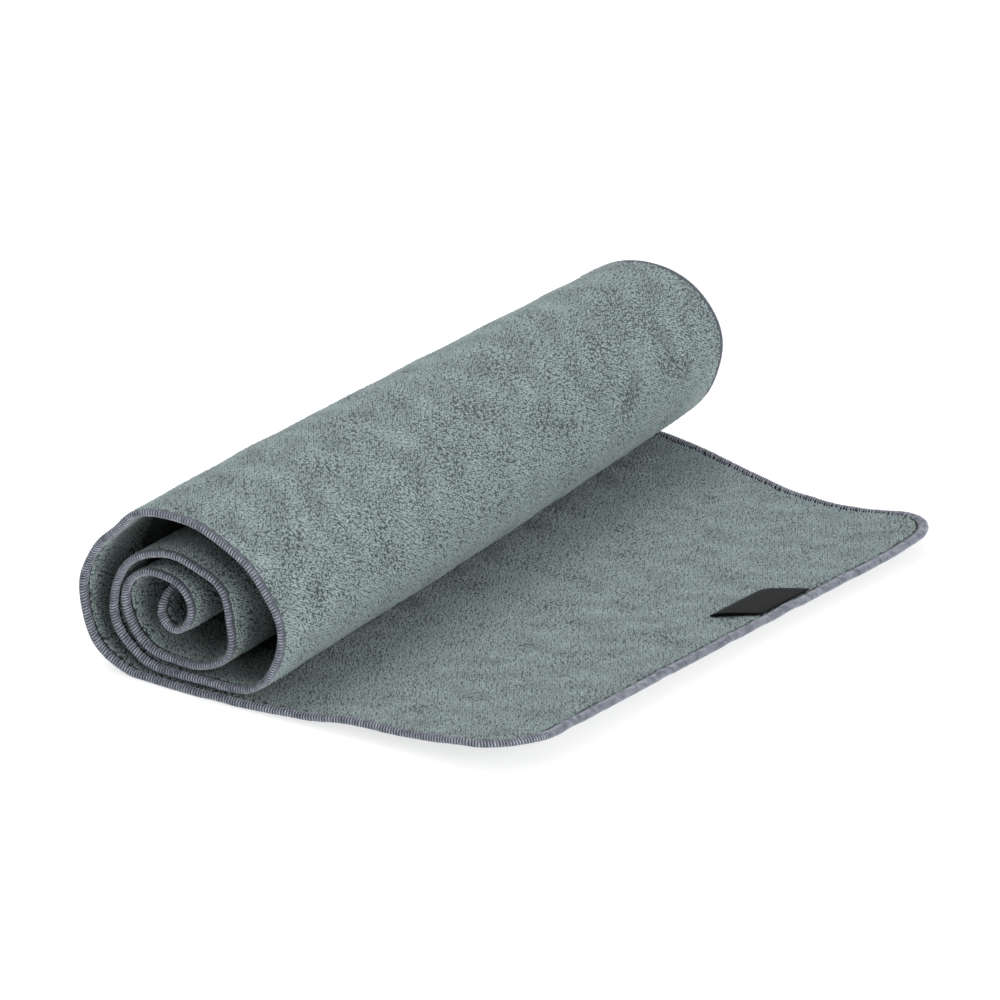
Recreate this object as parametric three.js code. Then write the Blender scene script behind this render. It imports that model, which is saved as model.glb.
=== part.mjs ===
// A rolled terry towel: one cloth with an overlocked hem all round, wound loosely from one end,
// its other end left out flat as a tail, and a folded label sewn into the tail's end hem.
// Millimetres, +Z up. The roll lies along Y, its front end towards -Y, and the tail runs out to +X.
import * as THREE from 'three';

// Cut size of the cloth
const CLOTH_LENGTH = 825;
const CLOTH_WIDTH = 400;
const CLOTH_THICKNESS = 3;
const CORNER_RADIUS = 36;
const HALF_THICKNESS = CLOTH_THICKNESS / 2;

// Overlocked hem: how far each line of it lies in from the cut edge,
// and how high its two faces stand off the cloth's middle layer
const HEM_LINES = [
  { line: 'cut edge', inset: 0, inner: 0.7, outer: 0.7 },
  { line: 'round', inset: 1, inner: 1.6, outer: 1.4 },
  { line: 'crown', inset: 2.6, inner: 1.9, outer: HALF_THICKNESS },
  { line: 'groove', inset: 4.4, inner: 1.2, outer: HALF_THICKNESS },
  { line: 'pile', inset: 6, inner: HALF_THICKNESS, outer: HALF_THICKNESS },
];

// The roll's section, seen from its front end as a clock face: how far the cloth's middle layer
// lies from the roll's middle at each hour, one row for each turn from the outside in.
// The cloth comes in from the tail at six o'clock and winds clockwise.
const ROLL_MIDDLE = { x: -8, z: 38 };
const HOURS = [
  'six', 'seven', 'eight', 'nine', 'ten', 'eleven', 'twelve', 'one', 'two', 'three', 'four', 'five',
];
const TURNS = [
  {
    turn: 'outer', six: 36.5, seven: 41.8, eight: 47.9, nine: 48, ten: 45.9, eleven: 46.3,
    twelve: 45.9, one: 47.2, two: 53.6, three: 59.7, four: 53.3, five: 36.4,
  },
  {
    turn: 'second', six: 32.2, seven: 34.5, eight: 35.3, nine: 33.5, ten: 29.8, eleven: 26.7,
    twelve: 25.4, one: 25.2, two: 28.9, three: 29.9, four: 33.2, five: 30.2,
  },
  {
    turn: 'third', six: 26.9, seven: 28.2, eight: 29.2, nine: 28.6, ten: 22.8, eleven: 15.2,
    twelve: 10.9, one: 8.4, two: 7.5, three: 7.5, four: 8.3, five: 10.2,
  },
  {
    turn: 'core', six: 12.4, seven: 13.3, eight: 13.1, nine: 11.5, ten: 9.8, eleven: 8.2,
    twelve: 5.8, one: 4,
  },
];
// The far end is wound looser on its upper right: how much further out it lies at each hour,
// growing from the front end. The inner turns slip back along Y.
const FAR_SPREAD = {
  six: 1, seven: 0.99, eight: 0.98, nine: 0.96, ten: 0.937, eleven: 0.911,
  twelve: 1.078, one: 1.246, two: 1.194, three: 0.942, four: 0.848, five: 0.98,
};
const SPREAD_POWER = 2;
const INNER_SLIP = 8;

// The tail at its near edge, middle and far edge: how far it runs out from the roll's middle,
// how far its end slides along Y, how high its end stands, and how much of it lies flat
const TAIL = {
  near: { run: 182.7, slide: 6, lift: 13.5, flat: 20 },
  middle: { run: 195.3, slide: -14, lift: 8.2, flat: 80 },
  far: { run: 216, slide: -40, lift: 8, flat: 110 },
};
// The slide begins and ends at these shares of the run
const SLIDE_FROM = 0.05;
const SLIDE_TO = 0.75;
const LIFT_POWER = 1.5;

// Soft local curls of the tail: where they are centred on the cloth, their reach and their height
const CURLS = [
  { place: 'near edge', along: 88, across: 0, reachAlong: 22, reachAcross: 45, height: 1.5 },
  { place: 'far corner', along: 0, across: CLOTH_WIDTH, reachAlong: 55, reachAcross: 70, height: 3.5 },
];

// Label: a folded woven tab, slanted, its sewn side just inside the hem's bead
const LABEL = {
  sewnAlong: 5.2, freeAlong: 24, from: 224, to: 269, slant: 14.5,
  thickness: 0.8, foldBulge: 0.4, clearance: 0.3, rows: 6, columns: 8,
};

// Rows of the solid's grid, fine at the cut ends, and columns across it
const TAIL_STEP = 13;
const END_INSETS = [...HEM_LINES.map((line) => line.inset), 12, 20, 30];
const MIDDLE_COLUMNS = [0.075, 0.275, 0.5, 0.725, 0.925];
const ROWS_PER_HOUR = 3;
const WINDING_STEPS_PER_HOUR = 30;

const lerp = THREE.MathUtils.lerp;
const clamp = THREE.MathUtils.clamp;

// Smooth value between the second and third of four evenly spaced ones
function catmullRom(before, from, to, after, u) {
  const slope = to - before;
  const bend = 2 * before - 5 * from + 4 * to - after;
  const twist = 3 * from - before - 3 * to + after;
  return 0.5 * (2 * from + slope * u + bend * u * u + twist * u * u * u);
}

// The far end's spread at a time between two hours, on a curve that closes round the clock
function farSpread(hour, u) {
  const at = (number) => FAR_SPREAD[HOURS[(number + HOURS.length) % HOURS.length]];
  return catmullRom(at(hour - 1), at(hour), at(hour + 1), at(hour + 2), u);
}

// The winding as closely spaced points with their distance along the cloth, from six o'clock inwards.
// The cloth never sinks below the layer that lies on the floor.
function makeWinding() {
  const radii = TURNS.flatMap((row) => HOURS.filter((hour) => hour in row).map((hour) => row[hour]));
  const last = radii.length - 1;
  const points = [];
  for (let step = 0; step <= last * WINDING_STEPS_PER_HOUR; step += 1) {
    const hour = Math.min(Math.floor(step / WINDING_STEPS_PER_HOUR), last - 1);
    const u = step / WINDING_STEPS_PER_HOUR - hour;
    const before = radii[hour === 0 ? 1 : hour - 1];
    const after = radii[Math.min(hour + 2, last)];
    const radius = catmullRom(before, radii[hour], radii[hour + 1], after, u);
    const angle = ((hour + u) / HOURS.length) * 2 * Math.PI;
    const x = ROLL_MIDDLE.x - radius * Math.sin(angle);
    const z = Math.max(ROLL_MIDDLE.z - radius * Math.cos(angle), HALF_THICKNESS);
    const previous = points.at(-1);
    const distance = previous ? previous.distance + Math.hypot(x - previous.x, z - previous.z) : 0;
    points.push({ x, z, distance, spread: farSpread(hour, u) });
  }
  return points;
}

const winding = makeWinding();
const windingLength = winding.at(-1).distance;

// Place and direction of the winding at a distance along it
function windingAt(distance) {
  let low = 0;
  let high = winding.length - 1;
  while (high - low > 1) {
    const middle = (low + high) >> 1;
    if (winding[middle].distance <= distance) low = middle;
    else high = middle;
  }
  const from = winding[low];
  const to = winding[high];
  const u = (distance - from.distance) / (to.distance - from.distance);
  const before = winding[Math.max(low - 2, 0)];
  const after = winding[Math.min(high + 2, winding.length - 1)];
  const size = Math.hypot(after.x - before.x, after.z - before.z);
  return {
    x: lerp(from.x, to.x, u),
    z: lerp(from.z, to.z, u),
    spread: lerp(from.spread, to.spread, u),
    directionX: (after.x - before.x) / size,
    directionZ: (after.z - before.z) / size,
  };
}

// A tail value anywhere across the cloth, on one smooth curve through its near, middle and far values
function acrossTail(key, across) {
  const u = across / CLOTH_WIDTH;
  const near = TAIL.near[key] * (1 - u) * (1 - 2 * u);
  const middle = TAIL.middle[key] * 4 * u * (1 - u);
  const far = TAIL.far[key] * u * (2 * u - 1);
  return near + middle + far;
}

// Height of the tail's middle layer above where it would lie flat
function tailLift(along, across, out) {
  const run = acrossTail('run', across);
  const flat = acrossTail('flat', across);
  const rise = clamp((out - flat) / (run - flat), 0, 1);
  let lift = acrossTail('lift', across) * rise ** LIFT_POWER;
  for (const curl of CURLS) {
    const offAlong = (along - curl.along) / curl.reachAlong;
    const offAcross = (across - curl.across) / curl.reachAcross;
    const fade = Math.max(0, 1 - offAlong * offAlong - offAcross * offAcross);
    lift += curl.height * fade * fade;
  }
  return lift;
}

// A point of the rolled cloth, from its place on the flat cloth (along from the tail's end edge,
// across from the near edge) and its height off the middle layer, towards the roll's inside
function clothPoint(along, across, height) {
  const out = acrossTail('run', across) - along;
  if (out > 0) {
    const share = out / acrossTail('run', across);
    const slide = acrossTail('slide', across) * THREE.MathUtils.smoothstep(share, SLIDE_FROM, SLIDE_TO);
    const lift = tailLift(along, across, out);
    return new THREE.Vector3(ROLL_MIDDLE.x + out, across + slide, HALF_THICKNESS + lift + height);
  }
  const place = windingAt(Math.min(-out, windingLength));
  const size = 1 + (place.spread - 1) * (across / CLOTH_WIDTH) ** SPREAD_POWER;
  const x = ROLL_MIDDLE.x + (place.x - ROLL_MIDDLE.x) * size;
  const z = Math.max(ROLL_MIDDLE.z + (place.z - ROLL_MIDDLE.z) * size, HALF_THICKNESS);
  const y = across + (INNER_SLIP * -out) / windingLength;
  return new THREE.Vector3(x + place.directionZ * height, y, z - place.directionX * height);
}

// How far the rounded corner draws the side edge in, at a distance along the cloth
function cornerInset(along) {
  const fromEnd = Math.min(along, CLOTH_LENGTH - along, CORNER_RADIUS);
  return CORNER_RADIUS - Math.sqrt(CORNER_RADIUS ** 2 - (CORNER_RADIUS - fromEnd) ** 2);
}

// Distance of a place on the flat cloth from its outline
function edgeDistance(along, across) {
  const fromEnd = Math.min(along, CLOTH_LENGTH - along);
  const fromSide = Math.min(across, CLOTH_WIDTH - across);
  if (fromEnd < CORNER_RADIUS && fromSide < CORNER_RADIUS) {
    return CORNER_RADIUS - Math.hypot(CORNER_RADIUS - fromEnd, CORNER_RADIUS - fromSide);
  }
  return Math.min(fromEnd, fromSide);
}

// Height of one face of the cloth off its middle layer: the hem's bead, then the even pile
function faceHeight(face, distance) {
  const next = HEM_LINES.findIndex((line) => line.inset > distance);
  if (next === -1) return HALF_THICKNESS;
  const from = HEM_LINES[next - 1] ?? HEM_LINES[0];
  const to = HEM_LINES[next];
  const u = clamp((distance - from.inset) / (to.inset - from.inset), 0, 1);
  return lerp(from[face], to[face], u);
}

// Distances along the cloth at which the grid has a row
function gridRows() {
  const tailRun = TAIL.near.run;
  const lastInset = END_INSETS.at(-1);
  const rows = [...END_INSETS];
  const tailRows = Math.round((tailRun - lastInset) / TAIL_STEP);
  for (let row = 1; row < tailRows; row += 1) {
    rows.push(lerp(lastInset, tailRun, row / tailRows));
  }
  for (let step = 0; step < winding.length; step += WINDING_STEPS_PER_HOUR / ROWS_PER_HOUR) {
    rows.push(tailRun + winding[step].distance);
  }
  const core = rows.filter((along) => along < CLOTH_LENGTH - lastInset - 1);
  return [...core, ...END_INSETS.map((inset) => CLOTH_LENGTH - inset).reverse()];
}

// Distances across the cloth of the grid's points in one row
function rowAcross(along) {
  const side = cornerInset(along);
  const hem = HEM_LINES.map((line) => side + line.inset);
  const middle = MIDDLE_COLUMNS.map((share) => lerp(side, CLOTH_WIDTH - side, share));
  return [...hem, ...middle, ...hem.map((across) => CLOTH_WIDTH - across).reverse()];
}

// Closed solid between an inner and an outer grid of points
function solidBetween(innerGrid, outerGrid) {
  const rows = innerGrid.length;
  const columns = innerGrid[0].length;
  const positions = [...innerGrid.flat(), ...outerGrid.flat()].flatMap((point) => point.toArray());
  const inner = (row, column) => row * columns + column;
  const outer = (row, column) => rows * columns + inner(row, column);
  const triangles = [];
  const quad = (a, b, c, d) => triangles.push(a, b, c, a, c, d);
  for (let row = 0; row < rows - 1; row += 1) {
    for (let column = 0; column < columns - 1; column += 1) {
      quad(inner(row, column), inner(row, column + 1), inner(row + 1, column + 1), inner(row + 1, column));
      quad(outer(row, column), outer(row + 1, column), outer(row + 1, column + 1), outer(row, column + 1));
    }
    const far = columns - 1;
    quad(inner(row, 0), inner(row + 1, 0), outer(row + 1, 0), outer(row, 0));
    quad(inner(row, far), outer(row, far), outer(row + 1, far), inner(row + 1, far));
  }
  for (let column = 0; column < columns - 1; column += 1) {
    const last = rows - 1;
    quad(inner(0, column), outer(0, column), outer(0, column + 1), inner(0, column + 1));
    quad(inner(last, column), inner(last, column + 1), outer(last, column + 1), outer(last, column));
  }
  const geometry = new THREE.BufferGeometry();
  geometry.setAttribute('position', new THREE.Float32BufferAttribute(positions, 3));
  geometry.setIndex(triangles);
  geometry.computeVertexNormals();
  return geometry;
}

// The cloth, its hem bead included, as one solid
function makeTowel() {
  const face = (name, sign) => gridRows().map((along) => rowAcross(along).map((across) => {
    const height = faceHeight(name, edgeDistance(along, across));
    return clothPoint(along, across, sign * height);
  }));
  const material = new THREE.MeshStandardMaterial({ color: 0x7c8d88, roughness: 0.95, metalness: 0 });
  const towel = new THREE.Mesh(solidBetween(face('inner', 1), face('outer', -1)), material);
  towel.name = 'towel';
  return towel;
}

// The label, lying on the tail's upper face from the hem's bead inwards
function makeLabel() {
  const underside = HALF_THICKNESS + LABEL.clearance;
  const face = (height) => {
    const grid = [];
    for (let row = 0; row <= LABEL.rows; row += 1) {
      const depth = row / LABEL.rows;
      const along = lerp(LABEL.sewnAlong, LABEL.freeAlong, depth);
      const points = [];
      for (let column = 0; column <= LABEL.columns; column += 1) {
        const across = lerp(LABEL.from, LABEL.to, column / LABEL.columns) - LABEL.slant * depth;
        points.push(clothPoint(along, across, height(depth)));
      }
      grid.push(points);
    }
    return grid;
  };
  const top = (depth) => underside + LABEL.thickness + LABEL.foldBulge * depth;
  const material = new THREE.MeshStandardMaterial({ color: 0x1c1f22, roughness: 0.6, metalness: 0 });
  const label = new THREE.Mesh(solidBetween(face(top), face(() => underside)), material);
  label.name = 'label';
  return label;
}

// The whole part, its origin under the middle of its box, on the floor
const part = new THREE.Group();
part.add(makeTowel(), makeLabel());
const box = new THREE.Box3().setFromObject(part, true);
const middle = box.getCenter(new THREE.Vector3());
part.position.set(-middle.x, -middle.y, -box.min.z);
part.updateMatrixWorld(true);

export default part;
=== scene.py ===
"""A rolled microfibre terry towel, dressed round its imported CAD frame.

Sizes are in millimetres, as in the part's source, and become metres where a mesh is made.
"""
import math

import bpy
import numpy as np
from mathutils import Matrix, Vector


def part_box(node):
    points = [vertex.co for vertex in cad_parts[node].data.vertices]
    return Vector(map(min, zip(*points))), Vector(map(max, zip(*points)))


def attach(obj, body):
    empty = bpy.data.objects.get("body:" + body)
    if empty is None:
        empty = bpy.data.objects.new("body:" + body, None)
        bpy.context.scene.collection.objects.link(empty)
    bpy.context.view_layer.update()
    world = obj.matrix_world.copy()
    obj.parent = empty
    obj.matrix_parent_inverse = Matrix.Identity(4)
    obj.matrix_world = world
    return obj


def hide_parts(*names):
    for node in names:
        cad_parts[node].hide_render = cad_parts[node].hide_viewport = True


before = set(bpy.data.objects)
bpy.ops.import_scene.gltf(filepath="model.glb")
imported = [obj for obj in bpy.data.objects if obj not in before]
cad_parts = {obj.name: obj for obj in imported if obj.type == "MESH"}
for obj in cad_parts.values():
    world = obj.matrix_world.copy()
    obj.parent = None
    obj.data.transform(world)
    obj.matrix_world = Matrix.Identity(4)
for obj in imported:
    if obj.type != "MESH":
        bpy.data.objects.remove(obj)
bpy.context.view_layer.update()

MM = 0.001

# Cut size of the cloth
CLOTH_LENGTH = 825
CLOTH_WIDTH = 400
HALF_THICKNESS = 1.5
CORNER_RADIUS = 36

# Overlocked hem: inset of each line from the cut edge, and the height of its inner and outer faces.
# The ground weave that carries the loops is thinner than the whole cloth.
GROUND = 1.0
HEM_INSET = [0, 0.4, 1.0, 1.8, 2.6, 3.6, 4.4, 5.4, 7]
HEM_INNER = [0.6, 1.2, 1.5, 1.7, 1.7, 1.4, 0.4, 0.5, GROUND]
HEM_OUTER = [0.6, 1.1, 1.3, 1.3, 1.1, GROUND, GROUND, GROUND, GROUND]
HEM_WIDTH = {"inner": 4.0, "outer": 2.7}

# The roll's section as a clock face: distance of the cloth's middle layer from the roll's middle
# at each hour from six, clockwise, one row for each turn from the outside in
ROLL_X = -8
ROLL_Z = 38
HOURS = 12
TURNS = {
    "outer": [36.5, 41.8, 47.9, 48, 45.9, 46.3, 45.9, 47.2, 53.6, 59.7, 53.3, 36.4],
    "second": [32.2, 34.5, 35.3, 33.5, 29.8, 26.7, 25.4, 25.2, 28.9, 29.9, 33.2, 30.2],
    "third": [26.9, 28.2, 29.2, 28.6, 22.8, 15.2, 10.9, 8.4, 7.5, 7.5, 8.3, 10.2],
    "core": [12.4, 13.3, 13.1, 11.5, 9.8, 8.2, 5.8, 4],
}
# Size of the section at the far end as a share of the front end's, at each hour
FAR_SPREAD = [1, 0.99, 0.98, 0.96, 0.937, 0.911, 1.078, 1.246, 1.194, 0.942, 0.848, 0.98]
SPREAD_POWER = 2
INNER_SLIP = 8
STEPS_PER_HOUR = 30

# The tail at its near edge, middle and far edge
TAIL_RUN = [182.7, 195.3, 216]
TAIL_SLIDE = [6, -14, -40]
TAIL_LIFT = [13.5, 8.2, 8]
TAIL_FLAT = [20, 80, 110]
SLIDE_FROM = 0.05
SLIDE_TO = 0.75
LIFT_POWER = 1.5
# Soft curls of the tail: centre along and across, reach along and across, height
CURLS = [(88, 0, 22, 45, 1.5), (0, CLOTH_WIDTH, 55, 70, 3.5)]

# What handling leaves in the cloth: the hem's slight waves, soft dents of the turns, and the dent
# in the front rim between ten and eleven o'clock
HEM_WAVE = {"height": 0.32, "length": 34, "reach": 14}
DENTS = {"height": 0.3, "size": 55}
RIM_DENT = {"hour": 4.55, "width": 10, "reach": 26, "depth": 2.4}

# Terry loops: spacing of the rows and of the loops in a row, and one loop's size
ROW_PITCH = 1.12
LOOP_PITCH = 1.32
LOOP_LENGTH = 2.15
LOOP_WIDTH = 1.6
LOOP_HEIGHT = 0.85
LOOP_ROOT = 0.35
LOOP_JITTER = 0.3
LOOP_SMALLEST = (0.8, 0.75, 0.6)
LOOP_LARGEST = (1.15, 1.15, 1.2)
LOOP_TONE = 0.085
# Largest turn of a loop by chance, on the roll and on the tail, and the painted shade that darkens the
# tail's loops
ROLL_TWIST = 0.4
TAIL_TWIST = math.pi
TAIL_PAINTED_SHADE = 0.93
# Patches that a hand has brushed: their size, how far loops lean and stand up in them, and how much lighter
# they are painted there as painted sheen of the laid pile
BRUSHED_WITH_SHEEN = {"size": 24, "lean": 0.28, "swirl": 0.18, "height": 0.06, "tone": 0.08}
# Slits between the loops that run along the cloth and gather in some places: loops in them stand lower and
# are darkened as painted shade in the gaps
SLIT = {
    "size": 1.9, "stretch": 0.5, "from": 0.74, "gather": 0.4, "gather_size": 34, "depth": 0.7, "tone": 0.72,
}
# Where the pile starts from the cut edge on each face, and how deep it goes into the roll's ends
PILE_INSET = {"inner": 5.9, "outer": 3.2}
END_DEPTH = 46

# Overlock: stitches along the edge, their needle line and the thread
STITCH_PITCH = 1.4
NEEDLE_INSET = 4.5
THREAD_RADIUS = 0.28
STITCH_TURN = 0.12
STITCH_SMALLEST = (0.95, 0.85, 0.95)
STITCH_LARGEST = (1.04, 1.15, 1.05)
# Reach and tone of the painted shade in the groove that the needle line pulls into the inner face
GROOVE_SHADE = {"reach": 1, "tone": 0.15}

# Label: a ribbon folded in half, slanted, its two ends sewn in beside the hem
LABEL = {
    "sewn": 5.2, "free": 24, "from": 224, "to": 269, "slant": 14.5, "thickness": 0.34, "clear": 0.3,
}

# Colour maps: room between two faces laid side by side, and a copy's share of its own cell
CHART_STEP = 1.05
CELL_SHARE = 0.46

# Camera: the frame's middle, the direction it is seen in and the lens
CAMERA_TARGET = (-37.56, 11.72, 30)
CAMERA_AZIMUTH = 31.004
CAMERA_ELEVATION = 22.532
CAMERA_ROLL = 1.718
CAMERA_DISTANCE = 2320.5
CAMERA_LENS = 173.89
SENSOR = 36

# Light of the sheet that the towel lies on
FLOOR_GLOW = 0.68


def catmull_rom(before, start, end, after, u):
    """Smooth value between the second and third of four evenly spaced ones."""
    bend = 2 * before - 5 * start + 4 * end - after
    twist = 3 * start - before - 3 * end + after
    return 0.5 * (2 * start + (end - before) * u + bend * u**2 + twist * u**3)


def make_winding():
    """The winding from six o'clock inwards: distance along the cloth, place and direction."""
    radii = np.concatenate(list(TURNS.values()))
    last = len(radii) - 1
    hours = np.arange(last * STEPS_PER_HOUR + 1) / STEPS_PER_HOUR
    hour = np.minimum(hours.astype(int), last - 1)
    before = radii[np.where(hour == 0, 1, hour - 1)]
    after = radii[np.minimum(hour + 2, last)]
    radius = catmull_rom(before, radii[hour], radii[hour + 1], after, hours - hour)
    sizes = (np.array(FAR_SPREAD)[(hour + k) % HOURS] for k in (-1, 0, 1, 2))
    spread = catmull_rom(*sizes, hours - hour)
    angle = hours / HOURS * 2 * np.pi
    x = ROLL_X - radius * np.sin(angle)
    z = np.maximum(ROLL_Z - radius * np.cos(angle), HALF_THICKNESS)
    distance = np.concatenate([[0], np.cumsum(np.hypot(np.diff(x), np.diff(z)))])
    slope_x = np.gradient(x, distance)
    slope_z = np.gradient(z, distance)
    return {"hour": hours, "distance": distance, "x": x, "z": z, "slope_x": slope_x, "slope_z": slope_z,
            "spread": spread}


WINDING = make_winding()
WINDING_LENGTH = WINDING["distance"][-1]


def wound(key, distance):
    return np.interp(distance, WINDING["distance"], WINDING[key])


def at_hour(hour):
    """Distance along the winding at an hour, counted from six o'clock on the outside."""
    return float(np.interp(hour, WINDING["hour"], WINDING["distance"]))


def across_tail(values, across):
    """A tail value anywhere across the cloth, on one curve through its near, middle and far values."""
    near, middle, far = values
    u = across / CLOTH_WIDTH
    return near * (1 - u) * (1 - 2 * u) + middle * 4 * u * (1 - u) + far * u * (2 * u - 1)


def edge_distance(along, across):
    """Distance of a place on the flat cloth from its rounded outline."""
    from_end = np.minimum(along, CLOTH_LENGTH - along)
    from_side = np.minimum(across, CLOTH_WIDTH - across)
    corner = CORNER_RADIUS - np.hypot(CORNER_RADIUS - from_end, CORNER_RADIUS - from_side)
    in_corner = (from_end < CORNER_RADIUS) & (from_side < CORNER_RADIUS)
    return np.where(in_corner, corner, np.minimum(from_end, from_side))


def patches(along, across, size, seed):
    """Soft random patches of about one size over the flat cloth, mostly between -1 and 1."""
    draw = np.random.default_rng(seed)
    waves = 14
    total = np.zeros(np.broadcast(along, across).shape)
    for _ in range(waves):
        turn, phase = draw.uniform(0, 2 * np.pi, 2)
        number = 2 * np.pi / size * draw.uniform(0.6, 1.5)
        total += np.sin((along * np.cos(turn) + across * np.sin(turn)) * number + phase)
    return total / math.sqrt(waves)


def tail_lift(along, across, out):
    """Height of the tail's middle layer above where it would lie flat."""
    run = across_tail(TAIL_RUN, across)
    flat = across_tail(TAIL_FLAT, across)
    rise = np.clip((out - flat) / (run - flat), 0, 1)
    lift = across_tail(TAIL_LIFT, across) * rise**LIFT_POWER
    for centre_along, centre_across, reach_along, reach_across, height in CURLS:
        off_along = (along - centre_along) / reach_along
        off_across = (across - centre_across) / reach_across
        lift += height * np.maximum(0, 1 - off_along**2 - off_across**2) ** 2
    return lift


def hem_wave(along, across):
    """The overlock draws the edge up into slight waves that fade into the cloth."""
    fade = np.exp(-edge_distance(along, across) / HEM_WAVE["reach"])
    return HEM_WAVE["height"] * fade * patches(along, across, HEM_WAVE["length"], 3)


def turn_dents(along, across, distance):
    """Soft dents of the wound cloth, and the one in the front rim."""
    lying = np.clip(distance / at_hour(1.5), 0, 1)
    soft = DENTS["height"] * patches(along, across, DENTS["size"], 5) * lying
    off = (distance - at_hour(RIM_DENT["hour"])) / RIM_DENT["width"]
    rim = RIM_DENT["depth"] * np.exp(-(off**2)) * np.exp(-across / RIM_DENT["reach"])
    return soft + rim


def cloth_point(along, across, height, handled=True):
    """Points of the rolled cloth, from their place on the flat cloth (along from the tail's end edge,
    across from the near edge) and their height off its middle layer, towards the roll's inside."""
    along, across, height = np.broadcast_arrays(*(np.asarray(v, float) for v in (along, across, height)))
    run = across_tail(TAIL_RUN, across)
    out = run - along
    distance = np.maximum(-out, 0)
    wave = hem_wave(along, across) if handled else 0
    dent = turn_dents(along, across, distance) if handled else 0

    lift = tail_lift(along, across, out) + np.maximum(wave, 0)
    share = np.clip((out / run - SLIDE_FROM) / (SLIDE_TO - SLIDE_FROM), 0, 1)
    slide = across_tail(TAIL_SLIDE, across) * share**2 * (3 - 2 * share)
    tail = np.stack([ROLL_X + out, across + slide, HALF_THICKNESS + lift + height], -1)

    place = np.minimum(distance, WINDING_LENGTH)
    size = 1 + (wound("spread", place) - 1) * (across / CLOTH_WIDTH) ** SPREAD_POWER
    slope_x = wound("slope_x", place)
    slope_z = wound("slope_z", place)
    length = np.hypot(slope_x, slope_z)
    off = height + dent + wave * np.clip(distance / at_hour(2), 0, 1)
    x = ROLL_X + (wound("x", place) - ROLL_X) * size + slope_z / length * off
    z = np.maximum(ROLL_Z + (wound("z", place) - ROLL_Z) * size, HALF_THICKNESS) - slope_x / length * off
    y = across + INNER_SLIP * distance / WINDING_LENGTH
    roll = np.stack([x, y, z], -1)
    return np.where((out > 0)[..., None], tail, roll)


def unit(vectors):
    return vectors / np.linalg.norm(vectors, axis=-1, keepdims=True)


def cloth_axes(along, across):
    """Directions of the cloth at places on it: lengthwise, crosswise and up from its inner face."""
    step = 0.4
    lengthwise = unit(cloth_point(along + step, across, 0) - cloth_point(along - step, across, 0))
    crosswise = unit(cloth_point(along, across + step, 0) - cloth_point(along, across - step, 0))
    return lengthwise, crosswise, unit(np.cross(crosswise, lengthwise))


def face_height(inner, distance):
    """Height of one face off the middle layer: the hem's bead, then the ground weave."""
    if inner:
        return np.interp(distance, HEM_INSET, HEM_INNER)
    return -np.interp(distance, HEM_INSET, HEM_OUTER)


def sheet_rows():
    """Distances along the cloth of the grid's rows: round corners at both ends, the tail, the turns."""
    corner_steps = 16
    tail_step = 4
    turn_step = 2.2
    arc = CORNER_RADIUS * (1 - np.cos(np.linspace(0, np.pi / 2, corner_steps)))
    tail_end = TAIL_RUN[0] - 10
    tail = np.linspace(CORNER_RADIUS, tail_end, round((tail_end - CORNER_RADIUS) / tail_step))
    turns_end = CLOTH_LENGTH - CORNER_RADIUS
    turns = np.linspace(tail_end, turns_end, round((turns_end - tail_end) / turn_step))
    return np.concatenate([arc[:-1], tail[:-1], turns[:-1], CLOTH_LENGTH - arc[::-1]])


def sheet_columns(along):
    """Places across the cloth of the grid's points in each row."""
    middle_step = 7
    from_end = np.minimum(np.minimum(along, CLOTH_LENGTH - along), CORNER_RADIUS)
    side = CORNER_RADIUS - np.sqrt(CORNER_RADIUS**2 - (CORNER_RADIUS - from_end) ** 2)
    hem = np.array(HEM_INSET)
    middle = np.linspace(0, 1, round(CLOTH_WIDTH / middle_step))[1:-1]
    near = side[:, None] + hem
    between = near[:, -1:] + (CLOTH_WIDTH - 2 * near[:, -1:]) * middle
    return np.concatenate([near, between, CLOTH_WIDTH - near[:, ::-1]], 1)


def place_in_frame():
    """Moves the cloth's own coordinates to the frame's, by the lowest corner of the plain cloth."""
    along = sheet_rows()[:, None]
    across = sheet_columns(sheet_rows())
    inner = cloth_point(along, across, HALF_THICKNESS, handled=False)
    outer = cloth_point(along, across, -HALF_THICKNESS, handled=False)
    own_low = np.concatenate([inner, outer]).reshape(-1, 3).min(0) * MM
    return np.array(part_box("towel")[0]) - own_low


OFFSET = place_in_frame()


def to_frame(points):
    return np.asarray(points).reshape(-1, 3) * MM + OFFSET


def new_piece(name, points, faces, smooth=True):
    """A mesh object from points in the cloth's own millimetres."""
    mesh = bpy.data.meshes.new(name)
    mesh.from_pydata(to_frame(points).tolist(), [], [tuple(map(int, face)) for face in faces])
    mesh.shade_smooth() if smooth else mesh.shade_flat()
    piece = bpy.data.objects.new(name, mesh)
    bpy.context.collection.objects.link(piece)
    return piece


def keep_attribute(mesh, name, kind, values):
    """Stores one value for each point of a mesh."""
    field = {"FLOAT": "value", "FLOAT_VECTOR": "vector"}[kind]
    attribute = mesh.attributes.new(name, kind, "POINT")
    attribute.data.foreach_set(field, np.asarray(values, np.float32).ravel())


def keep_chart(mesh, places):
    """Gives a mesh the map that its colours are baked through, from one place for each point."""
    chart = mesh.uv_layers.new(name="OFBake")
    corners = np.empty(len(mesh.loops), np.int32)
    mesh.loops.foreach_get("vertex_index", corners)
    chart.uv.foreach_set("vector", np.asarray(places, np.float32)[corners].ravel())


def grid_faces(rows, columns, start=0, turned=False):
    """Quads of a grid of points that are numbered row by row."""
    first = (np.arange(rows - 1)[:, None] * columns + np.arange(columns - 1)).ravel() + start
    quads = np.stack([first, first + 1, first + columns + 1, first + columns], 1)
    return quads[:, ::-1] if turned else quads


def linear(colour):
    """An sRGB hex colour as linear red, green, blue and full alpha."""
    parts = [int(colour[i : i + 2], 16) / 255 for i in (1, 3, 5)]
    return [c / 12.92 if c <= 0.04045 else ((c + 0.055) / 1.055) ** 2.4 for c in parts] + [1]


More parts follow.
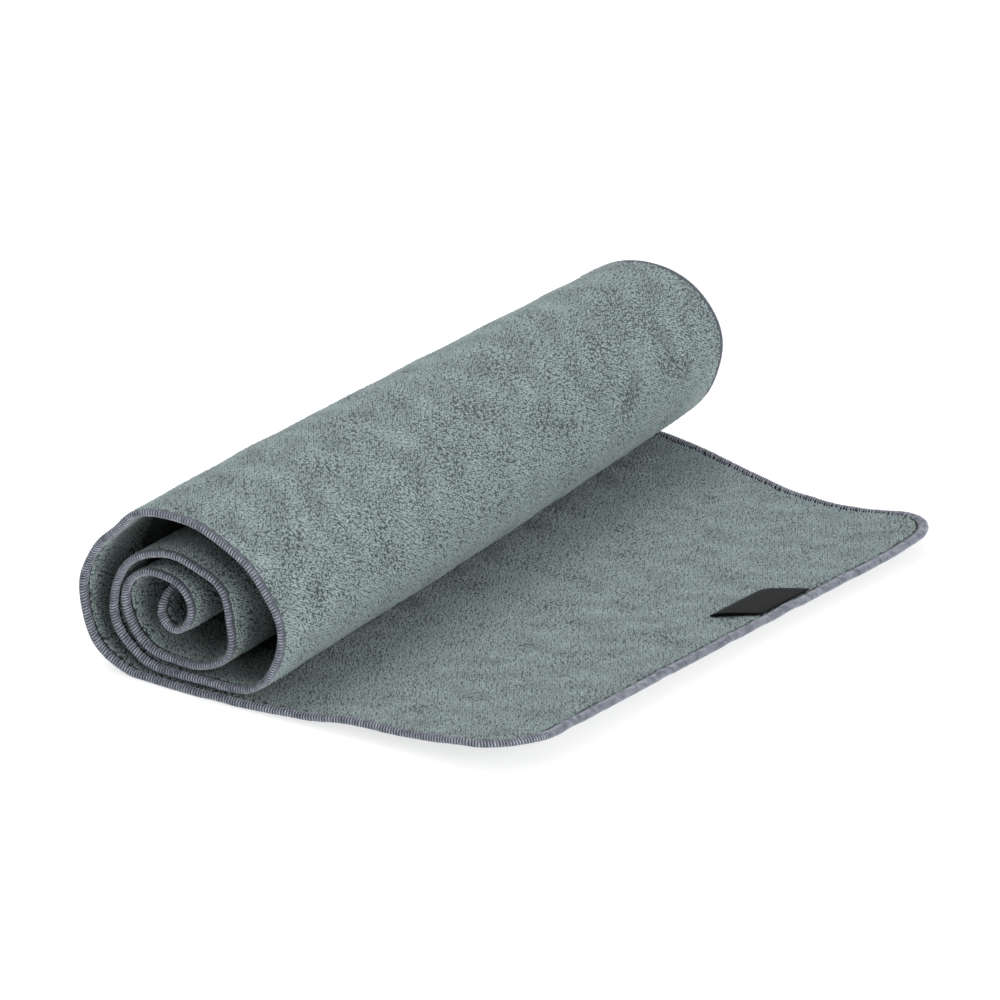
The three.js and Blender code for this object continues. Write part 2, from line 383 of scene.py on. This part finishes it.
def add(tree, kind, inputs=None, **settings):
    """Adds a node with its settings, and sets or links its inputs, by name or by number."""
    node = tree.nodes.new(kind)
    for name, value in settings.items():
        setattr(node, name, value)
    for key, value in (inputs or {}).items():
        if isinstance(value, bpy.types.NodeSocket):
            tree.links.new(value, node.inputs[key])
        else:
            node.inputs[key].default_value = value
    return node


def new_material(name):
    material = bpy.data.materials.new(name)
    material.use_nodes = True
    material.node_tree.nodes.clear()
    return material, material.node_tree


def finish_material(tree, shader):
    add(tree, "ShaderNodeOutputMaterial", {"Surface": shader.outputs[0]})


def terry_loops():
    """Microfibre terry: short split-fibre loops, matt, with painted shade that darkens them from their
    light tips down to the root where they stand close, and a faint bloom at glancing angles."""
    material, tree = new_material("Microfibre terry loops")
    tip = add(tree, "ShaderNodeAttribute", attribute_name="tip").outputs["Fac"]
    tone = add(tree, "ShaderNodeAttribute", attribute_name="tone").outputs["Fac"]
    # Painted shade: the loops darken from the tip down to the root, where they shade each other
    depth = add(tree, "ShaderNodeValToRGB", {"Fac": tip})
    depth.color_ramp.elements[0].color = linear("#748181")
    depth.color_ramp.elements[1].color = linear("#9fadad")
    place = add(tree, "ShaderNodeTexCoord").outputs["Object"]
    fibre = add(tree, "ShaderNodeTexNoise", {"Vector": place, "Scale": 1 / (0.6 * MM), "Detail": 1.0})
    speck = add(tree, "ShaderNodeMath", {0: fibre.outputs["Fac"], 1: 1.1, 2: 0.45},
                operation="MULTIPLY_ADD")
    value = add(tree, "ShaderNodeMath", {0: tone, 1: speck.outputs[0]}, operation="MULTIPLY")
    toned = add(tree, "ShaderNodeHueSaturation", {"Color": depth.outputs[0], "Value": value.outputs[0]})
    shader = add(tree, "ShaderNodeBsdfPrincipled", {
        "Base Color": toned.outputs[0], "Roughness": 0.95, "Specular IOR Level": 0.15,
        "Sheen Weight": 0.25, "Sheen Roughness": 0.55, "Sheen Tint": linear("#cdd6d6"),
    })
    finish_material(tree, shader)
    return material


def ground_weave():
    """The knitted ground under the loops: the same fibre, painted dark as the shade that the loops cast on
    it, with the loops' own grain where none are built, painted darker at its cells' edges as shade in the
    gaps."""
    material, tree = new_material("Microfibre ground weave")
    place = add(tree, "ShaderNodeAttribute", attribute_name="cloth").outputs["Vector"]
    grain_with_gap_shade = add(tree, "ShaderNodeTexVoronoi", {"Vector": place, "Scale": 1 / (1.2 * MM)})
    mottle = add(tree, "ShaderNodeTexNoise", {"Vector": place, "Scale": 1 / (9 * MM), "Detail": 4.0})
    mixed = add(tree, "ShaderNodeMath", {0: grain_with_gap_shade.outputs["Distance"], 1: mottle.outputs["Fac"]},
                operation="ADD")
    # Painted shade: dark all over as the loops' shade, and darker away from the grain cells' middles, as in
    # the gaps between loops
    colour = add(tree, "ShaderNodeValToRGB", {"Fac": mixed.outputs[0]})
    colour.color_ramp.elements[0].position = 0.3
    colour.color_ramp.elements[0].color = linear("#6c7878")
    colour.color_ramp.elements[1].position = 1.2
    colour.color_ramp.elements[1].color = linear("#465050")
    bump = add(tree, "ShaderNodeBump", {"Height": grain_with_gap_shade.outputs["Distance"], "Distance": 0.6 * MM,
                                        "Strength": 0.8}, invert=True)
    # The tone attribute darkens the ground as painted shade along the needle line's groove
    tone = add(tree, "ShaderNodeAttribute", attribute_name="tone").outputs["Fac"]
    toned = add(tree, "ShaderNodeHueSaturation", {"Color": colour.outputs[0], "Value": tone})
    shader = add(tree, "ShaderNodeBsdfPrincipled", {
        "Base Color": toned.outputs[0], "Roughness": 0.95, "Specular IOR Level": 0.15,
        "Sheen Weight": 0.15, "Sheen Roughness": 0.55, "Normal": bump.outputs[0],
    })
    finish_material(tree, shader)
    return material


def overlock_thread(name, dark, light):
    """Textured polyester overlock thread: slate grey, a little lustrous, unevenly dyed."""
    material, tree = new_material(name)
    place = add(tree, "ShaderNodeTexCoord").outputs["Object"]
    dye = add(tree, "ShaderNodeTexNoise", {"Vector": place, "Scale": 1 / (3 * MM), "Detail": 3.0})
    colour = add(tree, "ShaderNodeValToRGB", {"Fac": dye.outputs["Fac"]})
    colour.color_ramp.elements[0].position = 0.3
    colour.color_ramp.elements[0].color = linear(dark)
    colour.color_ramp.elements[1].position = 0.72
    colour.color_ramp.elements[1].color = linear(light)
    fibre = add(tree, "ShaderNodeTexNoise", {"Vector": place, "Scale": 1 / (0.5 * MM), "Detail": 2.0})
    bump = add(tree, "ShaderNodeBump", {"Height": fibre.outputs["Fac"], "Distance": 0.15 * MM,
                                        "Strength": 0.5})
    shader = add(tree, "ShaderNodeBsdfPrincipled", {
        "Base Color": colour.outputs[0], "Roughness": 0.7, "Specular IOR Level": 0.3,
        "Sheen Weight": 0.2, "Sheen Roughness": 0.4, "Normal": bump.outputs[0],
    })
    finish_material(tree, shader)
    return material


def label_ribbon():
    """Black woven polyester ribbon: a satin face with fine ribs across it and a soft lustre."""
    material, tree = new_material("Black satin woven ribbon")
    place = add(tree, "ShaderNodeAttribute", attribute_name="cloth").outputs["Vector"]
    ribs = add(tree, "ShaderNodeTexWave", {"Vector": place, "Scale": 2 * math.pi / 20 / (0.6 * MM)},
               bands_direction="Y")
    dye = add(tree, "ShaderNodeTexNoise", {"Vector": place, "Scale": 1 / (4 * MM), "Detail": 4.0})
    colour = add(tree, "ShaderNodeValToRGB", {"Fac": dye.outputs["Fac"]})
    colour.color_ramp.elements[0].color = linear("#060708")
    colour.color_ramp.elements[1].color = linear("#101215")
    bump = add(tree, "ShaderNodeBump", {"Height": ribs.outputs["Fac"], "Distance": 0.08 * MM,
                                        "Strength": 0.6})
    shader = add(tree, "ShaderNodeBsdfPrincipled", {
        "Base Color": colour.outputs[0], "Roughness": 0.5, "Specular IOR Level": 0.12,
        "Sheen Weight": 0.02, "Sheen Roughness": 0.4, "Normal": bump.outputs[0],
    })
    finish_material(tree, shader)
    return material


def lit_floor_sheet():
    """White translucent sheet lit from below, as on a light table, faintly mottled."""
    material, tree = new_material("Lit white acrylic sheet")
    place = add(tree, "ShaderNodeTexCoord").outputs["Object"]
    mottle = add(tree, "ShaderNodeTexNoise", {"Vector": place, "Scale": 3.0, "Detail": 2.0})
    colour = add(tree, "ShaderNodeValToRGB", {"Fac": mottle.outputs["Fac"]})
    colour.color_ramp.elements[0].color = linear("#bcbcbc")
    colour.color_ramp.elements[1].color = linear("#c0c0c0")
    shader = add(tree, "ShaderNodeBsdfPrincipled", {
        "Base Color": colour.outputs[0], "Roughness": 0.9, "Specular IOR Level": 0.1,
        "Emission Color": linear("#ffffff"), "Emission Strength": FLOOR_GLOW,
    })
    finish_material(tree, shader)
    return material


def make_cloth(ground, thread):
    """The towel's cloth: ground weave with its hem's bead all round, one closed sheet."""
    rows = sheet_rows()
    along, across = np.broadcast_arrays(rows[:, None], sheet_columns(rows))
    distance = edge_distance(along, across)
    inner = cloth_point(along, across, face_height(True, distance))
    outer = cloth_point(along, across, face_height(False, distance))
    count, columns = along.shape
    size = along.size
    faces = [grid_faces(count, columns), grid_faces(count, columns, size, turned=True)]
    ring = np.concatenate([
        np.arange(columns),
        np.arange(1, count) * columns + columns - 1,
        (count - 1) * columns + np.arange(columns - 1)[::-1],
        np.arange(1, count - 1)[::-1] * columns,
    ])
    after = np.roll(ring, -1)
    faces.append(np.stack([after, ring, ring + size, after + size], 1))
    cloth = new_piece("towel_cloth", np.concatenate([inner, outer]).reshape(-1, 3), np.concatenate(faces))
    mesh = cloth.data
    mesh.materials.append(ground)
    mesh.materials.append(thread)
    in_hem = np.concatenate([distance.ravel() < HEM_WIDTH[face] for face in ("inner", "outer")])
    first = np.array([face.vertices[0] for face in mesh.polygons])
    third = np.array([face.vertices[2] for face in mesh.polygons])
    mesh.polygons.foreach_set("material_index", (in_hem[first] & in_hem[third]).astype(np.int32))
    flat = np.stack([across.ravel(), along.ravel()], 1)
    both = np.concatenate([flat, flat + [CLOTH_WIDTH * CHART_STEP, 0]])
    keep_attribute(mesh, "cloth", "FLOAT_VECTOR", np.pad(both, ((0, 0), (0, 1))) * MM)
    # Painted shade: the ground's tone is darkened along the needle line's groove
    groove_shade = np.abs(distance - NEEDLE_INSET) < GROOVE_SHADE["reach"]
    keep_attribute(mesh, "tone", "FLOAT", [np.where(groove_shade, GROOVE_SHADE["tone"], 1), np.ones(distance.shape)])
    keep_chart(mesh, both / [CLOTH_WIDTH * (1 + CHART_STEP), CLOTH_LENGTH])
    return cloth


def nodes_modifier(piece, tree, values):
    """Puts a tree on a piece with its named inputs set, and makes the result the piece's plain mesh."""
    modifier = piece.modifiers.new(tree.name, "NODES")
    modifier.node_group = tree
    for socket in tree.interface.items_tree:
        if socket.in_out == "INPUT" and socket.name in values:
            modifier[socket.identifier] = values[socket.name]
    evaluated = piece.evaluated_get(bpy.context.evaluated_depsgraph_get())
    made = bpy.data.meshes.new_from_object(evaluated)
    made.name = piece.name
    piece.modifiers.clear()
    roots = piece.data
    piece.data = made
    bpy.data.meshes.remove(roots)


def new_tree(name, inputs):
    """An empty tree with geometry in and out and the named inputs."""
    tree = bpy.data.node_groups.new(name, "GeometryNodeTree")
    tree.interface.new_socket("Geometry", in_out="INPUT", socket_type="NodeSocketGeometry")
    for socket, kind in inputs.items():
        tree.interface.new_socket(socket, in_out="INPUT", socket_type=f"NodeSocket{kind}")
    tree.interface.new_socket("Geometry", in_out="OUTPUT", socket_type="NodeSocketGeometry")
    return tree, tree.nodes.new("NodeGroupInput").outputs


def named(tree, name, kind="FLOAT_VECTOR"):
    node = add(tree, "GeometryNodeInputNamedAttribute", {"Name": name}, data_type=kind)
    return node.outputs["Attribute"]


def repeat_tree():
    """Repeats one small shape on points: its Z stands along `standing`, its X runs along `running`,
    each copy turned and sized a little by chance, with its own cell of the colour map."""
    tree, given = new_tree("Repeat on cloth", {
        "Shape": "Object", "Turn": "Float", "Smallest": "Vector", "Largest": "Vector",
        "Seed": "Int", "Cell": "Vector", "Material": "Material",
    })
    shape = add(tree, "GeometryNodeObjectInfo", {"Object": given["Shape"]})
    upright = add(tree, "FunctionNodeAxesToRotation", {
        "Primary Axis": named(tree, "standing"), "Secondary Axis": named(tree, "running"),
    }, primary_axis="Z", secondary_axis="X")
    least = add(tree, "ShaderNodeMath", {0: given["Turn"], 1: -1.0}, operation="MULTIPLY")
    angle = add(tree, "FunctionNodeRandomValue", {
        2: least.outputs[0], 3: given["Turn"], "Seed": given["Seed"]}, data_type="FLOAT")
    turn = add(tree, "FunctionNodeAxisAngleToRotation", {"Axis": (0, 0, 1), "Angle": angle.outputs[1]})
    turned = add(tree, "FunctionNodeRotateRotation", {
        "Rotation": upright.outputs[0], "Rotate By": turn.outputs[0]}, rotation_space="LOCAL")
    size = add(tree, "FunctionNodeRandomValue", {
        0: given["Smallest"], 1: given["Largest"], "Seed": given["Seed"]}, data_type="FLOAT_VECTOR")
    loft = add(tree, "ShaderNodeVectorMath", {0: size.outputs[0], 1: named(tree, "loft")},
               operation="MULTIPLY")
    copies = add(tree, "GeometryNodeInstanceOnPoints", {
        "Points": given["Geometry"], "Instance": shape.outputs["Geometry"],
        "Rotation": turned.outputs[0], "Scale": loft.outputs[0],
    })
    real = add(tree, "GeometryNodeRealizeInstances", {"Geometry": copies.outputs[0]})
    spot = add(tree, "ShaderNodeVectorMath", {0: named(tree, "spot"), 1: given["Cell"]},
               operation="MULTIPLY")
    chart = add(tree, "ShaderNodeVectorMath", {0: named(tree, "cell"), 1: spot.outputs[0]},
                operation="ADD")
    mapped = add(tree, "GeometryNodeStoreNamedAttribute", {
        "Geometry": real.outputs[0], "Name": "OFBake", "Value": chart.outputs[0],
    }, data_type="FLOAT2", domain="CORNER")
    smooth = add(tree, "GeometryNodeSetShadeSmooth", {"Geometry": mapped.outputs[0]})
    dressed = add(tree, "GeometryNodeSetMaterial", {
        "Geometry": smooth.outputs[0], "Material": given["Material"]})
    add(tree, "NodeGroupOutput", {0: dressed.outputs[0]})
    return tree


def hidden_shape(name, points, faces):
    """One copy of a shape that a tree repeats, kept out of the scene."""
    mesh = bpy.data.meshes.new(name)
    mesh.from_pydata((np.asarray(points) * MM).tolist(), [], faces)
    return bpy.data.objects.new(name, mesh)


def one_loop():
    """One terry loop as a small four-sided knob, longer than wide."""
    half_length = LOOP_LENGTH / 2
    half_width = LOOP_WIDTH / 2
    points = [
        (half_length, 0, -LOOP_ROOT), (0, half_width, -LOOP_ROOT), (-half_length, 0, -LOOP_ROOT),
        (0, -half_width, -LOOP_ROOT), (0.15 * LOOP_LENGTH, 0, LOOP_HEIGHT),
    ]
    faces = [(0, 1, 4), (1, 2, 4), (2, 3, 4), (3, 0, 4)]
    loop = hidden_shape("terry_loop", points, faces)
    # Height share that the loops' painted root shade is drawn from
    keep_attribute(loop.data, "tip", "FLOAT", [0, 0, 0, 0, 1])
    spots = [(1, 0, 0), (0, 1, 0), (-1, 0, 0), (0, -1, 0), (0, 0, 0)]
    keep_attribute(loop.data, "spot", "FLOAT_VECTOR", spots)
    return loop


def loop_roots(inner, along_range, across_range, draw):
    """Roots of the loops on one face of the cloth between two lines along it and two across it."""
    rows = round((across_range[1] - across_range[0]) / ROW_PITCH)
    loops = round((along_range[1] - along_range[0]) / LOOP_PITCH)
    row, loop = np.meshgrid(np.arange(rows), np.arange(loops), indexing="ij")
    jitter = draw.uniform(-LOOP_JITTER, LOOP_JITTER, (2, rows, loops))
    across = across_range[0] + (row + 0.5 + jitter[0]) * ROW_PITCH
    along = along_range[0] + (loop + 0.5 + 0.5 * (row % 2) + jitter[1]) * LOOP_PITCH
    tone = draw.normal(1, LOOP_TONE, along.shape)
    inside = edge_distance(along, across) > PILE_INSET["inner" if inner else "outer"]
    along, across, row, loop, tone = (v[inside] for v in (along, across, row, loop, tone))
    lengthwise, crosswise, up = cloth_axes(along, across)
    side = 1 if inner else -1
    brushed_with_sheen = patches(along, across, BRUSHED_WITH_SHEEN["size"], 11)[:, None]
    swirl = patches(along, across, BRUSHED_WITH_SHEEN["size"], 12)[:, None]
    lean = BRUSHED_WITH_SHEEN["lean"] * brushed_with_sheen * lengthwise + BRUSHED_WITH_SHEEN["swirl"] * swirl * crosswise
    standing = unit(up * side + lean)
    gathered = SLIT["gather"] * patches(along, across, SLIT["gather_size"], 15)
    stretch = 1 if inner else SLIT["stretch"]
    slit = patches(along * stretch, across, SLIT["size"], 13) + gathered - SLIT["from"]
    slit = np.clip(2 * slit, 0, 1)[:, None]
    loft = np.ones((len(along), 3))
    loft[:, 2:] = (1 + BRUSHED_WITH_SHEEN["height"] * brushed_with_sheen) * (1 - SLIT["depth"] * slit)
    # Painted light and shade: brushed patches are lightened as painted sheen of the laid pile, and slits
    # darkened as painted shade in the gaps
    painted_sheen_and_shade = (1 + BRUSHED_WITH_SHEEN["tone"] * brushed_with_sheen) * (1 - SLIT["tone"] * slit)
    point = cloth_point(along, across, side * GROUND)
    # Loops that the towel lies on are pressed flat
    room = point[:, 2] / np.maximum(-standing[:, 2] * LOOP_HEIGHT * LOOP_LARGEST[2], 0.01)
    loft[:, 2] = np.minimum(loft[:, 2], np.maximum(room, 0.05))
    return {
        "point": point, "standing": standing, "running": lengthwise,
        "loft": loft, "tone": tone * painted_sheen_and_shade[:, 0], "row": row, "loop": loop,
        "rows": rows, "loops": loops,
    }


def make_pile(name, regions, tree, loop, material, turn, painted_shade, seed):
    """One piece of pile from the loops of one or more regions of the cloth, given as the face and the
    stretches along and across it."""
    draw = np.random.default_rng(seed)
    roots = [loop_roots(inner, along, across, draw) for inner, along, across in regions]
    columns = max(region["rows"] for region in roots)
    lines = sum(region["loops"] + 1 for region in roots)
    first_line = 0
    cells = []
    for region in roots:
        cells.append(np.stack([(region["row"] + 0.5) / columns,
                               (first_line + region["loop"] + 0.5) / lines,
                               np.zeros(len(region["row"]))], 1))
        first_line += region["loops"] + 1
    together = {key: np.concatenate([region[key] for region in roots])
                for key in ("point", "standing", "running", "loft", "tone")}
    pile = new_piece(name, together["point"], [])
    for key in ("standing", "running", "loft"):
        keep_attribute(pile.data, key, "FLOAT_VECTOR", together[key])
    # Painted shade: the tail's pieces darken their loops by the given share
    keep_attribute(pile.data, "tone", "FLOAT", together["tone"] * painted_shade)
    keep_attribute(pile.data, "cell", "FLOAT_VECTOR", np.concatenate(cells))
    nodes_modifier(pile, tree, {
        "Shape": loop, "Turn": turn, "Smallest": LOOP_SMALLEST, "Largest": LOOP_LARGEST,
        "Seed": seed, "Cell": (CELL_SHARE / columns, CELL_SHARE / lines, 0), "Material": material,
    })
    drop_helpers(pile.data, ("standing", "running", "loft", "cell", "spot"))
    return pile


def drop_helpers(mesh, names):
    for name in names:
        if name in mesh.attributes:
            mesh.attributes.remove(mesh.attributes[name])


def all_pile(tree, loop, material):
    """The pile wherever it shows: round the roll, on the tail and a little way into both ends."""
    outside = (TAIL_RUN[1] + at_hour(0.5), TAIL_RUN[1] + at_hour(12))
    inside = (TAIL_RUN[1] + at_hour(12), CLOTH_LENGTH)
    tail = (0, TAIL_RUN[1] + 4)
    turns = (TAIL_RUN[1] + 4, CLOTH_LENGTH)
    middle = CLOTH_WIDTH / 2
    front = (0, END_DEPTH)
    far = (CLOTH_WIDTH - END_DEPTH, CLOTH_WIDTH)
    regions = {
        "pile_roll_near": ([(False, outside, (0, middle))], ROLL_TWIST, 1),
        "pile_roll_far": ([(False, outside, (middle, CLOTH_WIDTH))], ROLL_TWIST, 1),
        "pile_tail_near": ([(True, tail, (0, middle))], TAIL_TWIST, TAIL_PAINTED_SHADE),
        "pile_tail_far": ([(True, tail, (middle, CLOTH_WIDTH))], TAIL_TWIST, TAIL_PAINTED_SHADE),
        "pile_front_end": ([(True, turns, front), (False, inside, front)], ROLL_TWIST, 1),
        "pile_far_end": ([(True, turns, far), (False, inside, far)], ROLL_TWIST, 1),
    }
    return [make_pile(name, where, tree, loop, material, turn, painted_shade, 20 + number)
            for number, (name, (where, turn, painted_shade)) in enumerate(regions.items())]


def outline_points(pitch):
    """Evenly spaced places on the cloth's outline, with the direction out of the cloth at each."""
    straight_long = CLOTH_LENGTH - 2 * CORNER_RADIUS
    straight_wide = CLOTH_WIDTH - 2 * CORNER_RADIUS
    quarter = CORNER_RADIUS * math.pi / 2
    whole = 2 * (straight_long + straight_wide) + 4 * quarter
    left = np.arange(round(whole / pitch)) * (whole / round(whole / pitch))
    along = np.zeros_like(left)
    across = np.zeros_like(left)
    out = np.zeros((len(left), 2))
    start = 0.0
    # Each side runs from the end of one corner to the next, as start, direction and outward direction
    sides = [
        ((CORNER_RADIUS, 0), (1, 0), (0, -1), straight_long),
        ((CLOTH_LENGTH, CORNER_RADIUS), (0, 1), (1, 0), straight_wide),
        ((CLOTH_LENGTH - CORNER_RADIUS, CLOTH_WIDTH), (-1, 0), (0, 1), straight_long),
        ((0, CLOTH_WIDTH - CORNER_RADIUS), (0, -1), (-1, 0), straight_wide),
    ]
    for (from_along, from_across), step, outward, length in sides:
        on = (left >= start) & (left < start + length)
        run = left[on] - start
        along[on] = from_along + run * step[0]
        across[on] = from_across + run * step[1]
        out[on] = outward
        start += length
        turn = (left >= start) & (left < start + quarter)
        angle = (left[turn] - start) / CORNER_RADIUS
        direction = np.cos(angle)[:, None] * outward + np.sin(angle)[:, None] * step
        end = np.array([from_along + length * step[0], from_across + length * step[1]])
        centre = end - np.array(outward) * CORNER_RADIUS
        along[turn], across[turn] = (centre + CORNER_RADIUS * direction).T
        out[turn] = direction
        start += quarter
    return along, across, out


def one_stitch():
    """One overlock stitch: a thread from the needle line over the hem's bead, round the edge and back."""
    half = STITCH_PITCH / 2
    path = np.array([
        (-NEEDLE_INSET, -half, 0.7), (-3.5, -0.65 * half, 1.5), (-2.2, -0.2 * half, 1.85),
        (-1.0, 0.2 * half, 1.7), (0.0, 0.5 * half, 1.05), (0.3, 0.7 * half, 0.1),
        (-0.2, 0.8 * half, -0.9), (-1.4, half, -1.2),
    ])
    ahead = unit(np.gradient(path, axis=0))
    beside = unit(np.cross(ahead, (0.0, 1.0, 0.0)))
    other = np.cross(beside, ahead)
    sides = 4
    angles = np.arange(sides) / sides * 2 * np.pi
    points = [p + THREAD_RADIUS * (math.cos(a) * b + math.sin(a) * o)
              for p, b, o in zip(path, beside, other) for a in angles]
    faces = []
    for ring in range(len(path) - 1):
        for side in range(sides):
            after = (side + 1) % sides
            corners = [ring * sides + side, ring * sides + after, (ring + 1) * sides + after,
                       (ring + 1) * sides + side]
            faces.append(corners)
    stitch = hidden_shape("overlock_stitch", points, faces)
    spots = [(2 * ring / (len(path) - 1) - 1, 2 * side / (sides - 1) - 1, 0)
             for ring in range(len(path)) for side in range(sides)]
    keep_attribute(stitch.data, "spot", "FLOAT_VECTOR", spots)
    return stitch


def make_overlock(tree, material):
    """The overlock's stitches all round the cloth's edge."""
    along, across, out = outline_points(STITCH_PITCH)
    edge = cloth_point(along, across, 0)
    within = cloth_point(along - 2 * out[:, 0], across - 2 * out[:, 1], 0)
    outward = unit(edge - within)
    step = 0.5
    ahead = (along - step * out[:, 1], across + step * out[:, 0])
    behind = (along + step * out[:, 1], across - step * out[:, 0])
    forward = unit(cloth_point(*ahead, 0) - cloth_point(*behind, 0))
    up = unit(np.cross(forward, outward))
    count = len(along)
    columns = 40
    lines = math.ceil(count / columns)
    order = np.arange(count)
    cells = np.stack([(order % columns + 0.5) / columns, (order // columns + 0.5) / lines,
                      np.zeros(count)], 1)
    stitches = new_piece("overlock_stitches", edge, [])
    keep_attribute(stitches.data, "standing", "FLOAT_VECTOR", up)
    keep_attribute(stitches.data, "running", "FLOAT_VECTOR", outward)
    keep_attribute(stitches.data, "loft", "FLOAT_VECTOR", np.ones((count, 3)))
    keep_attribute(stitches.data, "cell", "FLOAT_VECTOR", cells)
    nodes_modifier(stitches, tree, {
        "Shape": one_stitch(), "Turn": STITCH_TURN, "Smallest": STITCH_SMALLEST, "Largest": STITCH_LARGEST,
        "Seed": 7, "Cell": (CELL_SHARE / columns, CELL_SHARE / lines, 0), "Material": material,
    })
    drop_helpers(stitches.data, ("standing", "running", "loft", "cell", "spot"))
    return stitches


def make_label(material):
    """The label: a ribbon folded in half, its fold towards the roll, both ends sewn in at the hem."""
    steps = 40
    columns = 24
    half = LABEL["thickness"] / 2
    under = HALF_THICKNESS + LABEL["clear"] + half
    depth = 0.5 - 0.5 * np.cos(np.linspace(0, 2 * np.pi, steps))
    upper = np.linspace(0, 1, steps) < 0.5
    crown = 1.5 * np.sqrt(np.clip(depth, 0, 1)) * np.clip(4 * (1.02 - depth), 0, 1) ** 0.5
    height = under + np.where(upper, 0.25 + crown, 0.0)
    share = np.linspace(0, 1, columns)
    along = LABEL["sewn"] + (LABEL["free"] - LABEL["sewn"]) * depth
    across = LABEL["from"] + (LABEL["to"] - LABEL["from"]) * share - LABEL["slant"] * depth[:, None]
    middle = cloth_point(along[:, None], across, height[:, None], handled=False)
    slope = np.gradient(middle, axis=0)
    beside = np.gradient(middle, axis=1)
    up = unit(np.cross(slope, beside))
    top = middle + up * half
    bottom = middle - up * half
    size = steps * columns
    ring = np.concatenate([
        np.arange(columns), np.arange(1, steps) * columns + columns - 1,
        (steps - 1) * columns + np.arange(columns - 1)[::-1], np.arange(1, steps - 1)[::-1] * columns])
    after = np.roll(ring, -1)
    faces = np.concatenate([
        grid_faces(steps, columns, turned=True), grid_faces(steps, columns, size),
        np.stack([ring, after, after + size, ring + size], 1)])
    label = new_piece("label_ribbon", np.concatenate([top, bottom]).reshape(-1, 3), faces)
    label.data.materials.append(material)
    run = np.cumsum(np.r_[0, np.hypot(np.diff(along), np.diff(height))])
    wide = (LABEL["to"] - LABEL["from"]) * share
    flat = np.stack(np.broadcast_arrays(wide, run[:, None]), -1).reshape(-1, 2)
    both = np.concatenate([flat, flat + [CHART_STEP * wide[-1], 0]])
    keep_attribute(label.data, "cloth", "FLOAT_VECTOR", np.pad(both, ((0, 0), (0, 1))) * MM)
    keep_chart(label.data, both / both.max(0))
    return label, (wide[-1] * MM, run[-1] * MM)


def set_camera():
    """The camera on the photograph's side, aimed at the frame's middle."""
    azimuth, elevation, roll = (math.radians(v) for v in (CAMERA_AZIMUTH, CAMERA_ELEVATION, CAMERA_ROLL))
    right = Vector((math.cos(azimuth), math.sin(azimuth), 0))
    level = Vector((-math.sin(azimuth), math.cos(azimuth), 0))
    ahead = math.cos(elevation) * level - math.sin(elevation) * Vector((0, 0, 1))
    up = math.sin(elevation) * level + math.cos(elevation) * Vector((0, 0, 1))
    rolled_right = math.cos(roll) * right + math.sin(roll) * up
    rolled_up = math.cos(roll) * up - math.sin(roll) * right
    data = bpy.data.cameras.new("camera")
    data.lens = CAMERA_LENS
    data.sensor_width = SENSOR
    camera = bpy.data.objects.new("camera", data)
    bpy.context.collection.objects.link(camera)
    turn = Matrix((rolled_right, rolled_up, -ahead)).transposed().to_4x4()
    place = (Vector(CAMERA_TARGET) - CAMERA_DISTANCE * ahead) * MM
    camera.matrix_world = Matrix.Translation(place) @ turn
    bpy.context.scene.camera = camera


def add_light(name, place, aim, size, power):
    """A square soft box at a place, turned to its aim, both in metres."""
    data = bpy.data.lights.new(name, "AREA")
    data.size = size
    data.energy = power
    light = bpy.data.objects.new(name, data)
    light.location = place
    light.rotation_euler = (Vector(aim) - Vector(place)).to_track_quat("-Z", "Y").to_euler()
    bpy.context.collection.objects.link(light)


def set_studio():
    """Lit white floor, even white surroundings, a soft box overhead and a low one on the right."""
    floor_size = 8
    mesh = bpy.data.meshes.new("studio_floor")
    half = floor_size / 2
    corners = [(-half, -half, 0), (half, -half, 0), (half, half, 0), (-half, half, 0)]
    mesh.from_pydata(corners, [], [(0, 1, 2, 3)])
    mesh.materials.append(lit_floor_sheet())
    floor = bpy.data.objects.new("studio_floor", mesh)
    bpy.context.collection.objects.link(floor)
    world = bpy.data.worlds.new("white_studio")
    world.use_nodes = True
    background = world.node_tree.nodes["Background"]
    background.inputs["Color"].default_value = (1, 1, 1, 1)
    background.inputs["Strength"].default_value = 0.62
    bpy.context.scene.world = world
    add_light("soft_box_top", (-0.8, 0.4, 1.7), (0, 0, 0), 1.4, 17)
    add_light("soft_box_right", (1.7, -0.8, 0.6), (0, 0, 0.03), 1.4, 25.5)
    bpy.context.scene.view_settings.view_transform = "Standard"


set_camera()
set_studio()
ground = ground_weave()
thread = overlock_thread("Textured polyester overlock thread", "#70757f", "#b0b5bf")
looper = overlock_thread("Dark polyester looper thread", "#444954", "#5c616c")
cloth = make_cloth(ground, looper)
repeat = repeat_tree()
pile = all_pile(repeat, one_loop(), terry_loops())
stitches = make_overlock(repeat, thread)
label, label_flat = make_label(label_ribbon())

for piece in (cloth, *pile, stitches, label):
    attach(piece, "root")
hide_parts("towel")
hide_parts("label")
